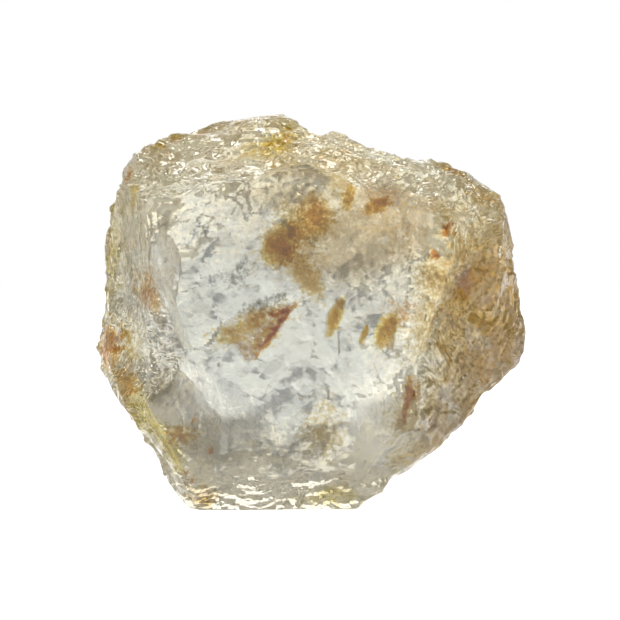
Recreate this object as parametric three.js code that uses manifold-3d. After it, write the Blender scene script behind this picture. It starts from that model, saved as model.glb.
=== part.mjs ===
// A free-standing chunk of clear quartz with one polished window in front, broken all round.
// Millimetres, +Z up, the window faces -Y, and the origin is under the middle of the chunk.
// The chunk starts as a slab of the right outline. Each blow then takes off what lies beyond
// one break surface, and small flakes spall off what is left.
import * as THREE from "three";
import { mergeVertices } from "three/addons/utils/BufferGeometryUtils.js";
import Module from "manifold-3d";

// Driving dimensions
const DEPTH = 48; // from the polished window to the back
const WINDOW_Y = -DEPTH / 2;
const BACK_Y = DEPTH / 2;
const MIDDLE_Z = 39;
const BULGE = 0.07; // how much the slab's rim draws in towards the window and the back
const SPARE = 8; // the slab is this much too thick on each side before the first blows
const LARGE = 150; // a blow's break surface is this long and wide, larger than the chunk
const NOTCH_REACH = 40; // the cone that cuts the notch, from its point to its foot
const NOTCH_SPREAD = 61.5; // degrees from its axis to its side
const NOTCH_DIP = 0.5; // how far its point lies behind the window
const FRONT_PITCH = 3.4; // spacing of the points on a break surface in front
const BACK_PITCH = 5.4; // and on one at the back
const FLAKE_PITCH = 4; // spacing of the points in a flake's scar
const SHORTEST_EDGE = 0.55; // of a broken surface
const ROUND_ABOUT = 8; // a flake faces the way that the surface does within this distance
const FLAKE_LUMPS = 0.03; // how far a flake is from round, as part of its radius

// The outline from the front, [x, z], anticlockwise from the left end of the foot
const OUTLINE = [
  // the foot, carried on below the flat that it will rest on
  [-21, -5],
  [4, -5],
  [11, 0.6],
  // the lower right side, one long straight break with a small step near its end
  [14.6, 2.4],
  [16.6, 5.4],
  [19.8, 7],
  [24.6, 10.8],
  [30.6, 16.4],
  [37, 23.2],
  [41.4, 27],
  // the right side, bulging and then waisted
  [43.4, 32],
  [43.2, 38.5],
  [42, 44],
  [41.4, 48],
  [42.2, 53.5],
  [40.2, 58.3],
  // the top right shoulder
  [37, 62.4],
  [32.4, 65.6],
  [27.5, 67.9],
  [23.5, 69.2],
  [17.5, 69.9],
  [13, 70.6],
  // the two peaks and the notch between them
  [9.5, 72.8],
  [5.6, 75.4],
  [2, 73],
  [-1.6, 75.2],
  [-5, 79.4],
  [-10, 77.6],
  [-15, 77.9],
  [-18.5, 76.2],
  [-22, 74.8],
  [-27, 74.6],
  [-31.5, 72],
  // the top left corner and the left side
  [-36, 69.2],
  [-38.2, 65],
  [-39.6, 59.5],
  [-41, 54],
  [-41.4, 44],
  [-40.8, 38],
  // the spur low on the left
  [-42, 34],
  [-43.4, 30.5],
  [-42, 27.4],
  // the lower left side
  [-38.6, 22],
  [-34.8, 14.8],
  [-30.6, 9.6],
  [-28.2, 3.6],
];

const wasm = await Module();
wasm.setup();

// ---------- Chance that repeats ----------

// A source of numbers from 0 to 1 that is the same each time for the same seed
function chance(seed) {
  let state = seed >>> 0;
  return () => {
    state = (state + 0x6d2b79f5) >>> 0;
    let mixed = Math.imul(state ^ (state >>> 15), 1 | state);
    mixed ^= mixed + Math.imul(mixed ^ (mixed >>> 7), 61 | mixed);
    return ((mixed ^ (mixed >>> 14)) >>> 0) / 2 ** 32;
  };
}

// Smooth hills and hollows from -1 to 1, about one unit apart
function hills(u, v, seed) {
  const corner = (i, j) => chance(i * 7919 + j * 104729 + seed * 1299709)() * 2 - 1;
  const i = Math.floor(u);
  const j = Math.floor(v);
  const ease = (t) => t * t * (3 - 2 * t);
  const a = ease(u - i);
  const b = ease(v - j);
  const near = THREE.MathUtils.lerp(corner(i, j), corner(i + 1, j), a);
  const far = THREE.MathUtils.lerp(corner(i, j + 1), corner(i + 1, j + 1), a);
  return THREE.MathUtils.lerp(near, far, b);
}

// ---------- Solids ----------

// A closed geometry as a solid that can be joined and cut
function solidOf(geometry) {
  const bare = new THREE.BufferGeometry();
  bare.setAttribute("position", geometry.getAttribute("position"));
  if (geometry.index) bare.setIndex(geometry.index);
  const merged = mergeVertices(bare, 1e-4);
  return solidFrom(merged.attributes.position.array, merged.index.array);
}

function solidFrom(points, triangles) {
  const mesh = new wasm.Mesh({
    numProp: 3,
    vertProperties: new Float32Array(points),
    triVerts: new Uint32Array(triangles),
  });
  return new wasm.Manifold(mesh);
}

// Draws the two ends of each short edge together, where that leaves the surface whole
function withoutShortEdges(solid) {
  const mesh = solid.getMesh();
  const points = mesh.vertProperties;
  const lengthOf = (a, b) => {
    const [ax, ay, az] = points.subarray(3 * a, 3 * a + 3);
    const [bx, by, bz] = points.subarray(3 * b, 3 * b + 3);
    return Math.hypot(ax - bx, ay - by, az - bz);
  };
  const cornersOf = (_, i) => [...mesh.triVerts.subarray(3 * i, 3 * i + 3)];
  let triangles = Array.from({ length: mesh.numTri }, cornersOf);
  let joined;
  do {
    const beside = Array.from({ length: mesh.numVert }, () => new Set());
    for (const [a, b, c] of triangles) {
      beside[a].add(b);
      beside[b].add(c);
      beside[c].add(a);
    }
    joined = new Map();
    const settled = new Set();
    for (const [from, others] of beside.entries()) {
      for (const to of others) {
        const shared = [...others].filter((other) => beside[to].has(other));
        const free = !settled.has(from) && !settled.has(to) && shared.length === 2;
        if (free && lengthOf(from, to) < SHORTEST_EDGE) {
          joined.set(from, to);
          for (const near of [from, to, ...others, ...beside[to]]) settled.add(near);
        }
      }
    }
    triangles = triangles
      .map((corners) => corners.map((corner) => joined.get(corner) ?? corner))
      .filter(([a, b, c]) => a !== b && b !== c && c !== a);
  } while (joined.size > 0);
  return solidFrom(points, triangles.flat());
}

// A solid as a geometry again, each triangle with corners of its own
function geometryOf(solid) {
  const mesh = solid.getMesh();
  const geometry = new THREE.BufferGeometry();
  geometry.setAttribute("position", new THREE.BufferAttribute(new Float32Array(mesh.vertProperties), 3));
  geometry.setIndex(new THREE.BufferAttribute(new Uint32Array(mesh.triVerts), 1));
  const loose = geometry.toNonIndexed();
  loose.computeVertexNormals();
  return loose;
}

// Moves each point of a geometry to where shape(point) puts it
function reshape(geometry, shape) {
  const points = geometry.getAttribute("position");
  const point = new THREE.Vector3();
  for (let i = 0; i < points.count; i += 1) {
    point.fromBufferAttribute(points, i);
    shape(point);
    points.setXYZ(i, point.x, point.y, point.z);
  }
  return geometry;
}

// The depth at which the slab is widest, wandering as it goes round the outline
const widestAt = (turn) => -3 + 3 * Math.sin(2 * turn + 1) + 2 * Math.sin(5 * turn);

// The slab of the outline, its rim crowned
function slab() {
  const shape = new THREE.Shape(OUTLINE.map(([x, z]) => new THREE.Vector2(x, z)));
  const thickness = DEPTH + 2 * SPARE;
  const steps = Math.round(thickness / FRONT_PITCH);
  const geometry = new THREE.ExtrudeGeometry(shape, { depth: thickness, steps, bevelEnabled: false });
  geometry.rotateX(Math.PI / 2);
  geometry.translate(0, thickness / 2, 0);
  return solidOf(
    reshape(geometry, (point) => {
      const turn = Math.atan2(point.z - MIDDLE_Z, point.x);
      const away = (point.y - widestAt(turn)) / (DEPTH / 2);
      const drawn = 1 - BULGE * away * away;
      point.x *= drawn;
      point.z = MIDDLE_Z + (point.z - MIDDLE_Z) * drawn;
    }),
  );
}

// What a blow takes off: all that lies beyond a break surface through a point. relief(across, along)
// is how far the surface stands proud of its plane, where along follows the grain of the break.
function blow({ through, facing, grain = [0, 0, 1], relief = () => 0, pitch }) {
  const out = new THREE.Vector3(...facing).normalize();
  const across = new THREE.Vector3().crossVectors(new THREE.Vector3(...grain), out).normalize();
  const along = new THREE.Vector3().crossVectors(out, across);
  const usual = out.y < 0 ? FRONT_PITCH : BACK_PITCH;
  const steps = (pitch ?? [usual, usual]).map((length) => Math.round(LARGE / length));
  const geometry = new THREE.BoxGeometry(LARGE, LARGE, LARGE, steps[0], steps[1], 1);
  reshape(geometry, (point) => {
    const near = point.z < 0;
    point.z = near ? relief(point.x, point.y) : LARGE;
  });
  const place = new THREE.Matrix4().makeBasis(across, along, out);
  place.setPosition(...through);
  geometry.applyMatrix4(place);
  return solidOf(geometry);
}

// ---------- Reliefs of a break surface ----------

// Hummocks of one size, in two layers
const hummocks = (size, height, seed) => (across, along) =>
  height * hills(across / size, along / size, seed) +
  0.4 * height * hills((across * 2.3) / size, (along * 2.3) / size, seed + 1);

// Ledges that run along the grain: each rises gently and drops off sharply, and wanders
const ledges = (width, drop, seed) => (across, along) => {
  const place = across / width + 0.9 * hills(along / (4 * width), across / (4 * width), seed);
  const part = place - Math.floor(place);
  return drop * (part - 0.5);
};

// Grooves that run along the grain, fading in and out
const grooves = (width, height, seed) => (across, along) =>
  height * (1 - 2 * Math.abs(hills(across / width, along / (9 * width), seed)));

// The ribs of a shell-like break, rings round the point where it was struck, in a shallow bowl
const ribs = (strike, width, height, bowl) => (across, along) => {
  const distance = Math.hypot(across - strike[0], along - strike[1]);
  const swell = (distance / LARGE) ** 2;
  return height * Math.cos((2 * Math.PI * distance) / width) + bowl * swell;
};

// Two reliefs or more on one surface
const both = (...reliefs) => (across, along) =>
  reliefs.reduce((sum, relief) => sum + relief(across, along), 0);

// ---------- The blows, in order ----------

const BLOWS = [
  // above the window on the left, coming away in ledges
  {
    through: [-15, WINDOW_Y, 65.8],
    facing: [-0.19, -0.63, 0.75],
    grain: [1, 0, 0.24],
    relief: both(ledges(5, 2, 3), hummocks(11, 0.8, 5)),
    pitch: [2, 5],
  },
  // above the window on the right, a shell-like break with its ribs
  {
    through: [20, WINDOW_Y, 60.4],
    facing: [0.29, -0.61, 0.73],
    grain: [1, 0, -0.4],
    relief: both(ribs([-6, 8], 7, 0.45, 14), hummocks(9, 0.8, 8)),
    pitch: [2.6, 3.4],
  },
  // the right side of the front, falling away to the right
  {
    through: [25, WINDOW_Y, 34],
    facing: [0.64, -0.76, -0.08],
    grain: [0.1, 0, 1],
    relief: both(hummocks(14, 1.8, 11), ledges(9, 1.3, 12)),
  },
  // the lower right, undercut
  {
    through: [19.5, WINDOW_Y, 16],
    facing: [0.62, -0.62, -0.48],
    grain: [0.6, 0, 0.8],
    relief: hummocks(10, 0.9, 15),
  },
  // the left strip, grooved up and down
  {
    through: [-33.4, WINDOW_Y, 52],
    facing: [-0.79, -0.6, 0.12],
    relief: both(grooves(3.2, 0.5, 17), hummocks(12, 0.8, 18)),
    pitch: [2, 5],
  },
  // the lower left, a smoother facet
  {
    through: [-29, WINDOW_Y, 13.6],
    facing: [-0.76, -0.42, -0.5],
    grain: [0.58, 0, -0.81],
    relief: both(hummocks(9, 0.7, 21), ledges(7, 0.8, 22)),
  },
  // under the window, down to the foot
  {
    through: [-6, WINDOW_Y, 7.4],
    facing: [0.02, -0.84, -0.54],
    grain: [1, 0, 0],
    relief: both(ledges(3.4, 0.8, 25), hummocks(7, 0.7, 26)),
    pitch: [2, 4.2],
  },
  // the back
  {
    through: [-4, BACK_Y - 2, 44],
    facing: [0.06, 0.98, 0.12],
    relief: both(ribs([-22, -30], 11, 1, 18), hummocks(15, 2.2, 31)),
  },
  {
    through: [-26, 15, 62],
    facing: [-0.48, 0.66, 0.58],
    grain: [1, 0, 0.5],
    relief: both(ledges(8, 1.5, 33), hummocks(12, 1, 34)),
  },
  {
    through: [24, 14, 60],
    facing: [0.46, 0.68, 0.56],
    grain: [1, 0, -0.4],
    relief: both(ribs([10, 20], 9, 0.5, 24), hummocks(12, 1.1, 36)),
  },
  {
    through: [-32, 14, 18],
    facing: [-0.62, 0.62, -0.48],
    relief: both(grooves(5, 0.7, 38), hummocks(13, 1.2, 39)),
  },
  {
    through: [27, 14, 22],
    facing: [0.6, 0.6, -0.53],
    grain: [0.6, 0, 0.8],
    relief: both(ledges(9, 1.2, 41), hummocks(11, 1, 42)),
  },
  {
    through: [-6, 17, 4],
    facing: [-0.05, 0.76, -0.64],
    grain: [1, 0, 0],
    relief: hummocks(9, 1.1, 44),
  },
  {
    through: [38, 11, 44],
    facing: [0.8, 0.6, 0.02],
    relief: both(grooves(6, 0.8, 46), hummocks(12, 1, 47)),
  },
  {
    through: [-37.5, 12, 46],
    facing: [-0.8, 0.6, 0.06],
    relief: both(ledges(8, 1.1, 49), hummocks(11, 1, 50)),
  },
];

// The polished window, and the flat that the chunk rests on
const FLATS = [
  { through: [0, WINDOW_Y, 30], facing: [0, -1, 0], pitch: [LARGE, LARGE] },
  { through: [0, 0, 0], facing: [0, 0, -1], grain: [1, 0, 0], pitch: [LARGE, LARGE] },
];

// The notch in the window's left edge, where ridges run together in a point: a cone with nine sides
function notch() {
  const foot = NOTCH_REACH * Math.tan(THREE.MathUtils.degToRad(NOTCH_SPREAD));
  const reach = new THREE.Vector3(-0.86, -0.42, 0.15).normalize();
  const geometry = new THREE.ConeGeometry(foot, NOTCH_REACH, 9, 8);
  geometry.translate(0, -NOTCH_REACH / 2, 0);
  geometry.rotateY(0.4);
  geometry.applyQuaternion(new THREE.Quaternion().setFromUnitVectors(new THREE.Vector3(0, -1, 0), reach));
  geometry.translate(-24, WINDOW_Y + NOTCH_DIP, 30.6);
  return solidOf(geometry);
}

// ---------- The flakes ----------

// Where flakes spall off: how many, their radius of curvature, depth and stretch, and the part of
// the surface that they come from
const FLAKES = [
  // the ledges above the window
  {
    count: 30, radius: [4, 10], depth: [0.8, 1.7], stretch: [2.6, 1, 1],
    low: [-40, -24, 62], high: [6, 6, 90],
  },
  // the shell-like break on the right
  {
    count: 26, radius: [5, 12], depth: [0.7, 1.5], stretch: [1.6, 1, 1],
    low: [6, -23, 54], high: [44, 6, 90],
  },
  // the right side
  {
    count: 38, radius: [8, 26], depth: [0.7, 1.7], stretch: [1, 1, 1.4],
    low: [23, -23, 8], high: [46, 20, 58],
  },
  // the left side
  {
    count: 40, radius: [5, 20], depth: [0.7, 1.7], stretch: [1, 1, 1.9],
    low: [-46, -24, 10], high: [-29, 20, 66],
  },
  // the lower left and the foot
  {
    count: 26, radius: [3, 9], depth: [0.6, 1.3], stretch: [1.5, 1, 1],
    low: [-40, -23.5, 2], high: [20, 0, 20],
  },
  // the top
  {
    count: 20, radius: [8, 24], depth: [0.8, 1.8], stretch: [1.3, 1, 1],
    low: [-40, -14, 60], high: [44, 20, 90],
  },
  // the back
  {
    count: 52, radius: [14, 40], depth: [1, 2.4], stretch: [1, 1, 1.3],
    low: [-46, 5, 4], high: [46, 40, 90],
  },
  // chips out of the ridges all round the window
  {
    count: 44, radius: [2.5, 6], depth: [0.5, 1.2], stretch: [1, 1, 1],
    low: [-40, -24, 6], high: [44, -18, 72],
  },
];

const between = ([low, high], part) => low + (high - low) * part;

// Places picked by chance on the part of a solid's surface that lies in a box: points, each with the
// way out there, which is taken over the surface round about
function placesOn(solid, { count, low, high }, random) {
  const corners = geometryOf(solid).getAttribute("position");
  const box = new THREE.Box3(new THREE.Vector3(...low), new THREE.Vector3(...high));
  const faces = [];
  let total = 0;
  for (let i = 0; i < corners.count; i += 3) {
    const face = new THREE.Triangle();
    face.setFromAttributeAndIndices(corners, i, i + 1, i + 2);
    const point = face.getMidpoint(new THREE.Vector3());
    if (box.containsPoint(point)) {
      total += face.getArea();
      const out = face.getNormal(new THREE.Vector3()).multiplyScalar(face.getArea());
      faces.push({ point, out, upTo: total });
    }
  }
  return Array.from({ length: count }, () => {
    const pick = random() * total;
    const { point } = faces.find((face) => face.upTo >= pick);
    const out = new THREE.Vector3();
    for (const face of faces) if (face.point.distanceTo(point) < ROUND_ABOUT) out.add(face.out);
    return { point, out: out.normalize() };
  });
}

// One flake: a stretched, slightly lumpy ball, so placed that only its lowest part dips into the surface
function flake({ point, out }, { radius, depth, stretch }, random) {
  const size = between(radius, random());
  const dip = between(depth, random());
  const geometry = new THREE.IcosahedronGeometry(size, Math.round(size / FLAKE_PITCH));
  reshape(geometry, (corner) => {
    const lumps = hills((corner.x + corner.z) / FLAKE_PITCH, (corner.y - corner.z) / FLAKE_PITCH, 1);
    corner.multiplyScalar(1 + lumps * FLAKE_LUMPS);
  });
  geometry.rotateX(random() * Math.PI);
  geometry.rotateY(random() * Math.PI);
  geometry.scale(...stretch);
  const factors = new THREE.Vector3(...stretch);
  const stretched = out.clone().multiply(factors);
  const lowest = stretched.clone().multiply(factors).multiplyScalar(-size / stretched.length());
  const middle = point.clone().addScaledVector(out, -dip).sub(lowest);
  geometry.translate(...middle);
  return solidOf(geometry);
}

// ---------- The chunk ----------

function chunk() {
  let stone = slab();
  for (const each of BLOWS) stone = stone.subtract(blow(each));
  stone = stone.subtract(notch());
  const random = chance(20);
  for (const zone of FLAKES) {
    for (const place of placesOn(stone, zone, random)) stone = stone.subtract(flake(place, zone, random));
    stone = withoutShortEdges(stone);
  }
  for (const each of FLATS) stone = stone.subtract(blow(each));
  return stone;
}

const quartz = new THREE.MeshStandardMaterial({ color: 0xd8cfb4, roughness: 0.1, metalness: 0 });
const crystal = new THREE.Mesh(geometryOf(chunk()), quartz);
crystal.name = "quartz_crystal";
crystal.geometry.computeBoundingBox();
const { x: middleX, y: middleY } = crystal.geometry.boundingBox.getCenter(new THREE.Vector3());
crystal.geometry.translate(-middleX, -middleY, 0);

const group = new THREE.Group();
group.add(crystal);

export default group;
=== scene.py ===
# %% [markdown]
# # A polished quartz crystal
# The object is a fist-sized chunk of clear quartz. One side has been ground and polished into a window,
# and the rest is left as it broke. Light goes in everywhere, so the look depends on three things: the
# shape of the broken surface, the glass-like material, and the cracks and iron stains inside.

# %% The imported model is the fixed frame
import math

import bmesh
import bpy
import numpy as np
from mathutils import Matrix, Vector, noise
from mathutils.bvhtree import BVHTree


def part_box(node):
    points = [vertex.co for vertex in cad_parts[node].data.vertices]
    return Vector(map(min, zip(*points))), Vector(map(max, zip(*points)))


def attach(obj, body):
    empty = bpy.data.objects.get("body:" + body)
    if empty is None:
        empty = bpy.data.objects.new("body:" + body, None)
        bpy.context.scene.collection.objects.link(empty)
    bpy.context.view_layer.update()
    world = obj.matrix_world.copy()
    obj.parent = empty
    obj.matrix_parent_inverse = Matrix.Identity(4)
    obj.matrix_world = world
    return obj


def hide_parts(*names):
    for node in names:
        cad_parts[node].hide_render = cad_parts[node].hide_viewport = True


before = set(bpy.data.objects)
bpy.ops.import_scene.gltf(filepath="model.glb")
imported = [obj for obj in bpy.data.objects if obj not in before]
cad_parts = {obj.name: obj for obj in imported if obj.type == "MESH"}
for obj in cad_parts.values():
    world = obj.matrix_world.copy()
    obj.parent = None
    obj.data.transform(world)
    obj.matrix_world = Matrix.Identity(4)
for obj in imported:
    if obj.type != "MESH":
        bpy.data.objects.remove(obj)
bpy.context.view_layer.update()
scene = bpy.context.scene
MM = 0.001
low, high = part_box("quartz_crystal")
size = high - low
print("the chunk measures", [round(side / MM, 1) for side in size], "mm")


# %% [markdown]
# ## Places
# Every place below is a part of the chunk's own box: how far from its left to its right, from its
# window to its back, and from its foot to its top. Sizes are in millimetres.

# %% Places in the chunk
def at(across, deep, up):
    return Vector((low.x + across * size.x, low.y + deep * size.y, low.z + up * size.z))


def step(value, start, end):
    """0 before start, 1 after end, and a smooth rise between them."""
    part = min(max((value - start) / (end - start), 0), 1)
    return part * part * (3 - 2 * part)


middle = at(0.5, 0.5, 0.5)
print("its middle is at", [round(side / MM, 1) for side in middle], "mm")


# %% [markdown]
# ## The camera
# A long lens, nearly level with the middle of the chunk, keeps its near and far parts in scale. The
# distance follows from the lens and from how wide a view the picture has to take in.

# %% Camera
LENS = 240
SENSOR = 36
VIEW_WIDTH = 124 * MM
CAMERA_TILT = math.radians(3)
AIM = Vector((0, at(0, 0.4, 0).y, 38.6 * MM))


def new_object(name, data):
    made = bpy.data.objects.new(name, data)
    scene.collection.objects.link(made)
    return made


camera = new_object("camera", bpy.data.cameras.new("camera"))
camera.data.lens = LENS
camera.data.sensor_width = SENSOR
distance = VIEW_WIDTH * LENS / SENSOR
camera.location = AIM + distance * Vector((0, -math.cos(CAMERA_TILT), math.sin(CAMERA_TILT)))
camera.rotation_euler = (math.radians(90) - CAMERA_TILT, 0, 0)
scene.camera = camera
print("camera", [round(c / MM) for c in camera.location], "mm")


# %% [markdown]
# ## Writing nodes from Python
# A material is a tree of nodes, and the same few nodes come up again and again. Each gets a short helper
# here. It adds the node, fills its sockets with plain numbers or with other nodes' outputs, and gives
# back its own output, so that a material reads like a sum.

# %% Helpers for numbers and directions
def wire(tree, value, socket):
    """Links another node's output, or sets a plain value."""
    if isinstance(value, bpy.types.NodeSocket):
        tree.links.new(value, socket)
    else:
        socket.default_value = value


def fill(tree, node, **values):
    """Fills a node's sockets by their names, with _ for a space, and gives its outputs."""
    for name, value in values.items():
        wire(tree, value, node.inputs[name.replace("_", " ")])
    return node.outputs


def add(tree, kind, *values, setting=None, **named):
    """A new shader node, with its setting, then its sockets in order and by name. Gives its outputs."""
    node = tree.nodes.new("ShaderNode" + kind)
    if setting:
        setattr(node, *setting)
    for value, socket in zip(values, node.inputs):
        wire(tree, value, socket)
    return fill(tree, node, **named)


def maths(tree, operation, *values):
    return add(tree, "Math", *values, setting=("operation", operation))[0]


def product(tree, first, *others):
    for other in others:
        first = maths(tree, "MULTIPLY", first, other)
    return first


def vectors(tree, operation, *values):
    made = add(tree, "VectorMath", *values, setting=("operation", operation))
    return made["Value" if operation == "LENGTH" else "Vector"]


def scaled(tree, vector, factor):
    made = add(tree, "VectorMath", setting=("operation", "SCALE"), Vector=vector, Scale=factor)
    return made["Vector"]


def remap(tree, value, start, end, first=0, last=1):
    """Turns start into first and end into last, evenly between them and level outside."""
    return add(tree, "MapRange", value, start, end, first, last)["Result"]


# %% Helpers for colours, noise and places
def blend(tree, mask, under, over):
    made = tree.nodes.new("ShaderNodeMix")
    made.data_type = "RGBA"
    sockets = {socket.identifier: socket for socket in made.inputs}
    wire(tree, mask, sockets["Factor_Float"])
    for colour, name in ((under, "A_Color"), (over, "B_Color")):
        wire(tree, colour if isinstance(colour, bpy.types.NodeSocket) else (*colour, 1), sockets[name])
    return next(socket for socket in made.outputs if socket.identifier == "Result_Color")


def grain_noise(tree, place, width, detail=3, roughness=0.55):
    """Noise with lumps about as wide as given, in millimetres."""
    linked = isinstance(width, bpy.types.NodeSocket)
    scale = maths(tree, "DIVIDE", 1 / MM, width) if linked else 1 / (width * MM)
    return add(tree, "TexNoise", Vector=place, Scale=scale, Detail=detail, Roughness=roughness)


def object_place(tree):
    return add(tree, "TexCoord")["Object"]


def turned(tree, place, angle):
    """The place, turned about the line from the window to the back."""
    about = ("rotation_type", "Y_AXIS")
    return add(tree, "VectorRotate", setting=about, Vector=place, Angle=angle)["Vector"]


def read(tree, name):
    """A number that is stored on the points of the mesh."""
    return add(tree, "Attribute", setting=("attribute_name", name))["Fac"]


# %% Helpers for groups
def new_group(name, inputs, outputs):
    """An empty shader group: its sockets are given as name and kind."""
    group = bpy.data.node_groups.new(name, "ShaderNodeTree")
    for direction, sockets in (("INPUT", inputs), ("OUTPUT", outputs)):
        for title, kind in sockets:
            group.interface.new_socket(title, in_out=direction, socket_type="NodeSocket" + kind)
    given = group.nodes.new("NodeGroupInput").outputs
    return group, given, group.nodes.new("NodeGroupOutput").inputs


def use_group(tree, group, **values):
    return add(tree, "Group", setting=("node_tree", group), **values)


# %% [markdown]
# ## Fibres
# Quartz that cracked and healed again is full of fine white fibres. Noise looks like fibres when the
# space it is drawn in is turned and then squeezed along one way. The body and the cracks both have
# fibres, so the effect is a shader group, and each material gives it its own numbers.

# %% The group for drawn-out noise
def drawn_noise_group():
    """Noise drawn out along one way, as the fibres of ice are."""
    inputs = [(name, "Float") for name in ("Turn", "Width", "Longer", "Detail", "Roughness")]
    group, given, put = new_group("drawn-out noise", inputs, [("Value", "Float")])
    shorter = maths(group, "DIVIDE", 1, given["Longer"])
    squeeze = add(group, "CombineXYZ", X=1, Y=1, Z=shorter)["Vector"]
    place = vectors(group, "MULTIPLY", turned(group, object_place(group), given["Turn"]), squeeze)
    made = grain_noise(group, place, given["Width"], given["Detail"], given["Roughness"])
    wire(group, made["Fac"], put["Value"])
    return group


drawn_noise = drawn_noise_group()


def fibres(tree, turn, width, longer, detail=5, roughness=0.68):
    values = {"Turn": math.radians(turn), "Width": width, "Longer": longer}
    return use_group(tree, drawn_noise, **values, Detail=detail, Roughness=roughness)["Value"]


print("group:", drawn_noise.name)


# %% [markdown]
# ## The floor
# Clear stone is lit by what lies behind and under it. The floor is pale and glows a little, as a light
# table does, so that light comes up through the chunk.

# %% A helper for materials
def new_material(name, **values):
    """A material with the sockets of its shader filled, its tree of nodes, and that shader."""
    material = bpy.data.materials.new(name)
    material.use_nodes = True
    tree = material.node_tree
    shader = tree.nodes["Principled BSDF"]
    fill(tree, shader, **values)
    return material, tree, shader


# %% Floor
FLOOR_RADIUS = 0.9
FLOOR_WHITE = (0.85, 0.85, 0.85, 1)
FLOOR_ROUGHNESS = 0.8
FLOOR_GLOW = 0.85


def floor_material():
    """Pale and softly lit from below."""
    glow = {"Emission_Color": (1, 1, 1, 1), "Emission_Strength": FLOOR_GLOW}
    values = {"Base_Color": FLOOR_WHITE, "Roughness": FLOOR_ROUGHNESS}
    material, _, _ = new_material("floor", **values, **glow)
    material.cycles.emission_sampling = "NONE"
    return material


def make_floor():
    bm = bmesh.new()
    bmesh.ops.create_circle(bm, cap_ends=True, segments=96, radius=FLOOR_RADIUS)
    mesh = bpy.data.meshes.new("floor")
    bm.to_mesh(mesh)
    bm.free()
    mesh.materials.append(floor_material())
    return new_object("floor", mesh)


make_floor()
print("floor", 2 * FLOOR_RADIUS, "m across")


# %% [markdown]
# ## The lamps
# A broken edge shows a glint where it mirrors a lamp. Large soft boxes on the left and above give the
# broad sheen, and two small ones in front give the short sharp glints.

# %% Soft boxes
# Name, place in metres, width, height, and power in watts
LAMPS = (
    ("left_box", (-0.7, -0.35, 0.5), 0.4, 0.5, 1.2),
    ("top_box", (0.1, 0.15, 0.9), 0.45, 0.35, 5),
    ("right_glint", (0.35, -0.45, 0.45), 0.2, 0.2, 2),
    ("left_glint", (-0.3, -0.4, 0.55), 0.2, 0.2, 2),
)


def softbox(name, place, width, height, watts):
    """A rectangular lamp that faces the middle of the chunk."""
    lamp = bpy.data.lights.new(name, "AREA")
    lamp.shape = "RECTANGLE"
    lamp.size, lamp.size_y = width, height
    lamp.energy = watts
    box = new_object(name, lamp)
    box.location = place
    box.rotation_euler = (middle - Vector(place)).to_track_quat("-Z", "Y").to_euler()


for lamp_row in LAMPS:
    softbox(*lamp_row)
print(len(LAMPS), "lamps")


# %% [markdown]
# ## The room
# Glass shows what is round it. An even white room would leave it flat and empty, and a dark one would
# turn it black. So the room has soft upright panels with dimmer gaps between them, and each facet
# catches a panel or a gap. The camera itself sees plain white where nothing else is.

# %% Room light
PANELS = 8
PANEL_LIGHT = 1.42
GAP_LIGHT = 0.4
CEILING_LIGHT = 0.12
PANEL_EDGE = 0.8
WALL_TOP = 0.25
CEILING_EDGE = 0.75


def room_light():
    """Soft upright panels round the chunk with dim gaps between them, and a dim ceiling."""
    world = bpy.data.worlds.new("room")
    world.use_nodes = True
    tree = world.node_tree
    split = add(tree, "SeparateXYZ", Vector=add(tree, "TexCoord")["Generated"])
    turn = maths(tree, "ARCTAN2", split["Y"], split["X"])
    wave = maths(tree, "COSINE", product(tree, turn, PANELS))
    sides = remap(tree, wave, 0, PANEL_EDGE, GAP_LIGHT, PANEL_LIGHT)
    height = remap(tree, split["Z"], WALL_TOP, CEILING_EDGE)
    above = product(tree, height, maths(tree, "SUBTRACT", CEILING_LIGHT, sides))
    light = maths(tree, "ADD", sides, above)
    seen = add(tree, "LightPath")["Is Camera Ray"]
    plain = product(tree, seen, maths(tree, "SUBTRACT", 1, light))
    strength = maths(tree, "ADD", light, plain)
    fill(tree, tree.nodes["Background"], Color=(1, 1, 1, 1), Strength=strength)
    return world


scene.world = room_light()
print(PANELS, "panels of strength", PANEL_LIGHT)


# %% [markdown]
# Light that enters the chunk is thrown about inside it many times before it comes out. With too few
# bounces those places stay black, so light may pass and turn back often.

# %% Light paths and view
scene.view_settings.view_transform = "Standard"
cycles = scene.cycles
cycles.max_bounces = 12
cycles.transmission_bounces = 12
cycles.glossy_bounces = 8
cycles.diffuse_bounces = 2
cycles.transparent_max_bounces = 12
print("light may bounce", cycles.max_bounces, "times")

# %% [markdown]
# ## The broken surface
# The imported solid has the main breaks. A copy of it is remeshed to points about half a millimetre
# apart, so that the small breaks can be pressed into it. A remesh gives even, closed faces, which a
# subdivided copy of the long flat facets would not.

# %% A finely meshed copy of the solid
POINT_GAP = 0.53 * MM


def fine_copy(node, name):
    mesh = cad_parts[node].data.copy()
    bm = bmesh.new()
    bm.from_mesh(mesh)
    bmesh.ops.remove_doubles(bm, verts=bm.verts, dist=0.001 * MM)
    bm.to_mesh(mesh)
    bm.free()
    piece = new_object(name, mesh)
    remesh = piece.modifiers.new("even points", "REMESH")
    remesh.mode = "VOXEL"
    remesh.voxel_size = POINT_GAP
    seen = piece.evaluated_get(bpy.context.evaluated_depsgraph_get())
    fine = bpy.data.meshes.new_from_object(seen)
    piece.modifiers.clear()
    piece.data = fine
    return piece


crystal = fine_copy("quartz_crystal", "crystal_body")
print("points", len(crystal.data.vertices), "faces", len(crystal.data.polygons))


# %% [markdown]
# ## Flakes
# Quartz breaks in small shell-shaped flakes. They follow cells: each cell is a shallow bowl, tilted its
# own way, with a sharp rim where it meets the next. Three sizes lie over each other, and on the top and
# the left side they are drawn out along the break.

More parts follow.
